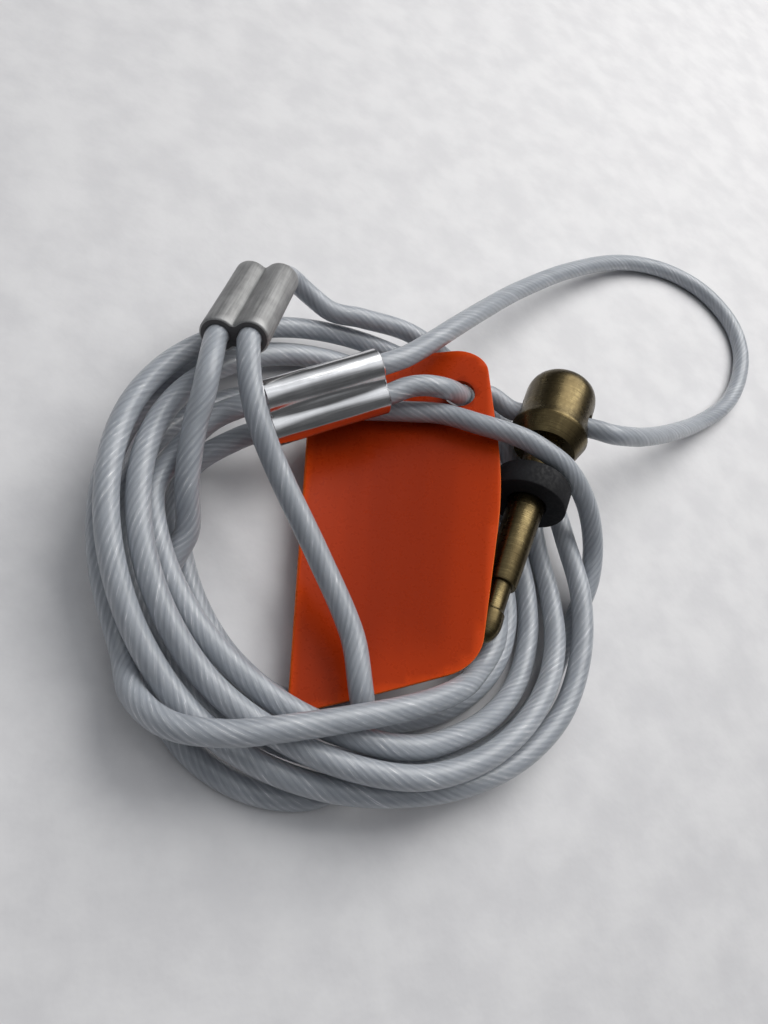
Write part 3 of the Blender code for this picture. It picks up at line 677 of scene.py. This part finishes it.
def drill(obj, world, radius, depth, sides):
    """Cut a round hole along the local +Z of world, for good."""
    bm = bmesh.new()
    bmesh.ops.create_cone(
        bm, cap_ends=True, segments=sides, radius1=radius * MM, radius2=radius * MM, depth=depth * MM,
    )
    for face in bm.faces:
        face.smooth = len(face.verts) == 4
    mesh = bpy.data.meshes.new("drill")
    bm.to_mesh(mesh)
    bm.free()
    cutter = bpy.data.objects.new("drill", mesh)
    bpy.context.collection.objects.link(cutter)
    cutter.matrix_world = world
    modifier = obj.modifiers.new("drill", "BOOLEAN")
    modifier.operation = "DIFFERENCE"
    modifier.solver = "EXACT"
    modifier.object = cutter
    bpy.context.view_layer.update()
    cut = bpy.data.meshes.new_from_object(obj.evaluated_get(bpy.context.evaluated_depsgraph_get()))
    obj.modifiers.remove(modifier)
    old = obj.data
    obj.data = cut
    bpy.data.meshes.remove(old)
    bpy.data.objects.remove(cutter, do_unlink=True)
    bpy.data.meshes.remove(mesh)


def sharpen(obj, degrees):
    obj.data.shade_smooth()
    obj.data.set_sharp_from_angle(angle=math.radians(degrees))


def with_both_ends(mouth, middle):
    """Sections from end to end: a rounded mouth of (distance, radius, groove), the middle, the mouth mirrored."""
    first = [(at, radius, groove, 0.0) for at, radius, groove in mouth]
    last = [(SLEEVE_LENGTH - at, radius, groove, 0.0) for at, radius, groove in reversed(mouth)]
    return first + middle + last


def make_anchor_sleeve(material):
    edge = ANCHOR_EDGE
    mouth = [
        (0.0, BARREL_RADIUS - edge, 1.75), (edge * 0.4, BARREL_RADIUS - edge * 0.35, 1.85),
        (edge, BARREL_RADIUS, 1.95),
    ]
    groove = mouth[-1][2]
    middle = []
    for step in range(1, ANCHOR_STEPS):
        part = step / ANCHOR_STEPS
        at = edge + (SLEEVE_LENGTH - 2 * edge) * part
        middle.append((at, BARREL_RADIUS - ANCHOR_WAIST * math.sin(math.pi * part), groove, 0.0))
    obj = sleeve_mesh("sleeve_anchor", ANCHOR_SLEEVE, with_both_ends(mouth, middle), material)
    sharpen(obj, 38)
    dress(obj, "lanyard", "anchor_sleeve")
    return obj


def make_tether_sleeve(material):
    edge = TETHER_EDGE
    mouth = [(0.0, BARREL_RADIUS - edge, 2.15), (edge, BARREL_RADIUS, TETHER_GROOVE)]
    middle = []
    for step in range(1, TETHER_STEPS):
        part = step / TETHER_STEPS
        at = edge + (SLEEVE_LENGTH - 2 * edge) * part
        press = math.sin(math.pi * part)
        mark = 0.5 - 0.5 * math.cos(2 * math.pi * PRESS_MARKS * part)
        radius = BARREL_RADIUS - PRESS_DEPTH * press - PRESS_MARK_DEPTH * mark
        middle.append((at, radius, TETHER_GROOVE + PRESS_GROOVE_RISE * press, PRESS_FLAT * press))
    obj = sleeve_mesh("sleeve_tether", TETHER_SLEEVE, with_both_ends(mouth, middle), material)
    sharpen(obj, 40)
    dress(obj, "lanyard", "tether_sleeve")
    return obj


def rounded_outline(corners, steps):
    outline = []
    for i, (x, y, radius) in enumerate(corners):
        corner = Vector((x, y))
        before = (Vector(corners[i - 1][:2]) - corner).normalized()
        after = (Vector(corners[(i + 1) % len(corners)][:2]) - corner).normalized()
        half = before.angle(after) / 2
        reach = radius / math.tan(half)
        middle = corner + (before + after).normalized() * radius / math.sin(half)
        first = corner + before * reach - middle
        last = corner + after * reach - middle
        turn = first.angle_signed(last)
        for step in range(steps):
            outline.append(middle + Matrix.Rotation(-turn * step / (steps - 1), 2) @ first)
    return outline


def tag_lift(across):
    return TAG_RISE * across + TAG_CURL * across * across


def edge_distance(point, outline):
    best = 1e9
    for before, after in zip(outline, outline[1:] + outline[:1]):
        line = after - before
        part = max(0.0, min(1.0, (point - before).dot(line) / line.length_squared))
        best = min(best, (point - before - line * part).length)
    return best


def make_tag(material):
    up = TAG_UP.normalized()
    across = up.cross(Vector((0, 0, 1))).normalized()
    out = across.cross(up)
    hole = Vector((TAG_HOLE_ACROSS, TAG_HOLE_UP, tag_lift(TAG_HOLE_ACROSS)))
    origin = TAG_MIDDLE + across * hole.x + up * hole.y + out * hole.z
    world = frame_matrix(placed(origin), out, across)
    outline = rounded_outline(TAG_CORNERS, TAG_CORNER_POINTS)
    bm = bmesh.new()
    half = TAG_THICKNESS / 2
    base = bm.faces.new([bm.verts.new((p.x, p.y, -half)) for p in outline])
    made = bmesh.ops.extrude_face_region(bm, geom=[base])
    moved = [item for item in made["geom"] if isinstance(item, bmesh.types.BMVert)]
    bmesh.ops.translate(bm, vec=(0, 0, TAG_THICKNESS), verts=moved)
    rims = [e for e in bm.edges if abs(e.verts[0].co.z - e.verts[1].co.z) < 1e-6 and len(e.link_faces) == 2]
    bmesh.ops.bevel(bm, geom=rims, offset=TAG_EDGE_ROUND, segments=3, affect="EDGES", profile=0.5)
    for lines, direction in ((TAG_GRID_ACROSS, Vector((1, 0, 0))), (TAG_GRID_UP, Vector((0, 1, 0)))):
        for line in lines:
            everything = list(bm.verts) + list(bm.edges) + list(bm.faces)
            bmesh.ops.bisect_plane(bm, geom=everything, dist=0.0001, plane_co=direction * line, plane_no=direction)
    bmesh.ops.triangulate(bm, faces=[face for face in bm.faces if len(face.verts) > 4])
    bmesh.ops.recalc_face_normals(bm, faces=bm.faces)
    # Painted light: each point's nearness to the cut edge sets the painted edge glow
    painted_edge_glow = bm.verts.layers.float.new("painted_edge_glow")
    for vert in bm.verts:
        gap = edge_distance(vert.co.xy, outline)
        vert[painted_edge_glow] = max(math.exp(-gap / TAG_PAINTED_RIM_WIDTH), TAG_PAINTED_GLOW * math.exp(-gap / TAG_PAINTED_GLOW_WIDTH))
        lift = tag_lift(vert.co.x)
        vert.co = (Vector((vert.co.x, vert.co.y, vert.co.z + lift)) - hole) * MM
    mesh = bpy.data.meshes.new("tag_sheet")
    bm.to_mesh(mesh)
    bm.free()
    obj = link("tag_sheet", mesh, material, world)
    tilt = math.atan(TAG_RISE + 2 * TAG_CURL * TAG_HOLE_ACROSS)
    hole_frame = world @ Matrix.Rotation(-tilt, 4, "Y") @ Matrix.Translation(TAG_HOLE_SHIFT * MM)
    drill(obj, hole_frame, TAG_HOLE_RADIUS, 6 * TAG_THICKNESS, TAG_HOLE_SIDES)
    sharpen(obj, 30)
    dress(obj, "tag", "tag")
    return obj


def turned_mesh(name, profile, sides, material, world):
    """A turned body from (height, radius) pairs; a radius of zero closes it on the axis."""
    bm = bmesh.new()
    rings = []
    for height, radius in profile:
        if radius < 1e-6:
            rings.append([bm.verts.new(Vector((0, 0, height)) * MM)])
            continue
        rings.append([
            bm.verts.new(Vector((radius * math.cos(2 * math.pi * i / sides),
                                 radius * math.sin(2 * math.pi * i / sides), height)) * MM)
            for i in range(sides)
        ])
    pairs = list(zip(rings, rings[1:]))
    if len(rings[0]) > 1:
        pairs.append((rings[-1], rings[0]))
    for low, high in pairs:
        for i in range(sides):
            j = (i + 1) % sides
            corners = [low[i % len(low)], low[j % len(low)], high[j % len(high)], high[i % len(high)]]
            bm.faces.new(list(dict.fromkeys(corners)))
    bmesh.ops.recalc_face_normals(bm, faces=bm.faces)
    mesh = bpy.data.meshes.new(name)
    bm.to_mesh(mesh)
    bm.free()
    return link(name, mesh, material, world)


def pin_profile():
    length = (PIN_END - PIN_TOP).length
    profile = list(PIN_CROWN)
    dome_from, dome_radius = PIN_CROWN[-1]
    depth, swell = PIN_DOME
    for i in range(1, PIN_ROUND_STEPS + 1):
        angle = math.radians(90 * i / PIN_ROUND_STEPS)
        profile.append((dome_from + depth * (1 - math.cos(angle)), dome_radius + swell * math.sin(angle)))
    profile += PIN_BELOW_DOME
    nose_length, nose_radius = PIN_NOSE
    for i in range(PIN_ROUND_STEPS + 1):
        angle = math.radians(90 * i / PIN_ROUND_STEPS)
        profile.append((length - nose_length * (1 - math.sin(angle)), nose_radius * math.cos(angle)))
    return profile


def make_pin(material):
    world = frame_matrix(placed(pin_point(PIN_HOLE_AT)), pin_direction(), PIN_HOLE_DIRECTION)
    profile = [(height - PIN_HOLE_AT, radius) for height, radius in pin_profile()]
    obj = turned_mesh("pin_turned", profile, PIN_SIDES, material, world)
    hole = frame_matrix(placed(pin_point(PIN_HOLE_AT)), PIN_HOLE_DIRECTION, (0, 0, 1))
    drill(obj, hole, PIN_HOLE_RADIUS, PIN_DRILL_DEPTH, BORE_SIDES)
    sharpen(obj, 30)
    dress(obj, "pin", "pull_pin")
    return obj


def make_washer(material):
    world = frame_matrix(placed(pin_point(PIN_HOLE_AT)), pin_direction(), PIN_HOLE_DIRECTION)
    low = WASHER_AT - PIN_HOLE_AT
    high = low + WASHER_THICKNESS
    bore = SHANK_RADIUS + WASHER_FIT
    edge, middle = WASHER_EDGE, WASHER_EDGE_MIDDLE
    profile = [
        (low + edge, bore), (low, bore + edge), (low, WASHER_RADIUS - edge),
        (low + middle, WASHER_RADIUS - middle), (low + edge, WASHER_RADIUS),
        (high - edge, WASHER_RADIUS), (high - middle, WASHER_RADIUS - middle),
        (high, WASHER_RADIUS - edge), (high, bore + edge), (high - edge, bore),
    ]
    obj = turned_mesh("washer_ring", profile, PIN_SIDES, material, world)
    sharpen(obj, 30)
    dress(obj, "pin", "seal_washer")
    return obj


# Camera, floor and light

def make_camera():
    level = Vector((-math.sin(CAMERA_ROLL), -math.cos(CAMERA_ROLL), 0.0))
    right_level = Vector((math.cos(CAMERA_ROLL), -math.sin(CAMERA_ROLL), 0.0))
    back = level * math.sin(CAMERA_TILT) + Vector((0, 0, 1)) * math.cos(CAMERA_TILT)
    down = level * math.cos(CAMERA_TILT) - Vector((0, 0, 1)) * math.sin(CAMERA_TILT)
    right = right_level * math.cos(CAMERA_ROLL) - down * math.sin(CAMERA_ROLL)
    up = -right_level * math.sin(CAMERA_ROLL) - down * math.cos(CAMERA_ROLL)
    data = bpy.data.cameras.new("camera")
    data.sensor_width = SENSOR_MM
    data.lens = FOCAL_PX * SENSOR_MM / PICTURE_LONG_SIDE_PX
    data.clip_start = 0.01
    camera = bpy.data.objects.new("camera", data)
    bpy.context.collection.objects.link(camera)
    matrix = Matrix((right, up, back)).transposed().to_4x4()
    matrix.translation = placed(back * (CAMERA_HEIGHT / math.cos(CAMERA_TILT)))
    camera.matrix_world = matrix
    bpy.context.scene.camera = camera


def make_stage():
    bm = bmesh.new()
    bmesh.ops.create_grid(bm, x_segments=1, y_segments=1, size=FLOOR_HALF_SIZE)
    mesh = bpy.data.meshes.new("floor")
    bm.to_mesh(mesh)
    bm.free()
    floor = link("floor", mesh, floor_material())
    floor.location.z = -FLOOR_DROP


def area_light(name, location, size, power, colour):
    data = bpy.data.lights.new(name, "AREA")
    data.shape = "DISK"
    data.size = size
    data.energy = power
    data.color = colour
    light = bpy.data.objects.new(name, data)
    bpy.context.collection.objects.link(light)
    light.location = location
    light.rotation_mode = "QUATERNION"
    light.rotation_quaternion = (LAMP_TARGET - Vector(location)).to_track_quat("-Z", "Y")


def make_lights():
    area_light("key", *KEY_LAMP)
    area_light("fill", *FILL_LAMP)
    world = bpy.data.worlds.new("studio")
    world.use_nodes = True
    nodes = world.node_tree.nodes
    links = world.node_tree.links
    place = nodes.new("ShaderNodeTexCoord")
    towards = nodes.new("ShaderNodeVectorMath")
    towards.operation = "DOT_PRODUCT"
    towards.inputs[1].default_value = Vector(ROOM_LIGHT_FROM).normalized()
    links.new(place.outputs["Generated"], towards.inputs[0])
    level = nodes.new("ShaderNodeMath")
    level.operation = "MULTIPLY_ADD"
    level.inputs[1].default_value = 0.5
    level.inputs[2].default_value = 0.5
    links.new(towards.outputs["Value"], level.inputs[0])
    shade = nodes.new("ShaderNodeValToRGB")
    elements = shade.color_ramp.elements
    while len(elements) < len(ROOM_LIGHT):
        elements.new(0.5)
    for element, (position, grey) in zip(elements, ROOM_LIGHT):
        element.position = position
        element.color = (*[grey * part for part in ROOM_LIGHT_TINT], 1.0)
    links.new(level.outputs[0], shade.inputs[0])
    links.new(shade.outputs[0], nodes["Background"].inputs["Color"])
    bpy.context.scene.world = world
    bpy.context.scene.view_settings.view_transform = "Standard"


make_camera()
rope_look = rope_material()
make_rope("rope_wound", wound_points(), "lanyard_coil", rope_look)
make_rope("rope_anchor_eye", anchor_eye_points(), "anchor_eye", rope_look)
make_rope("rope_tether_eye", tether_eye_points(), "tether_eye", rope_look)
make_anchor_sleeve(aluminium_material("pale_aluminium", **PALE_ALUMINIUM))
make_tether_sleeve(aluminium_material("pressed_aluminium", **PRESSED_ALUMINIUM))
make_tag(tag_material())
make_pin(brass_material())
make_washer(rubber_material())
make_stage()
make_lights()
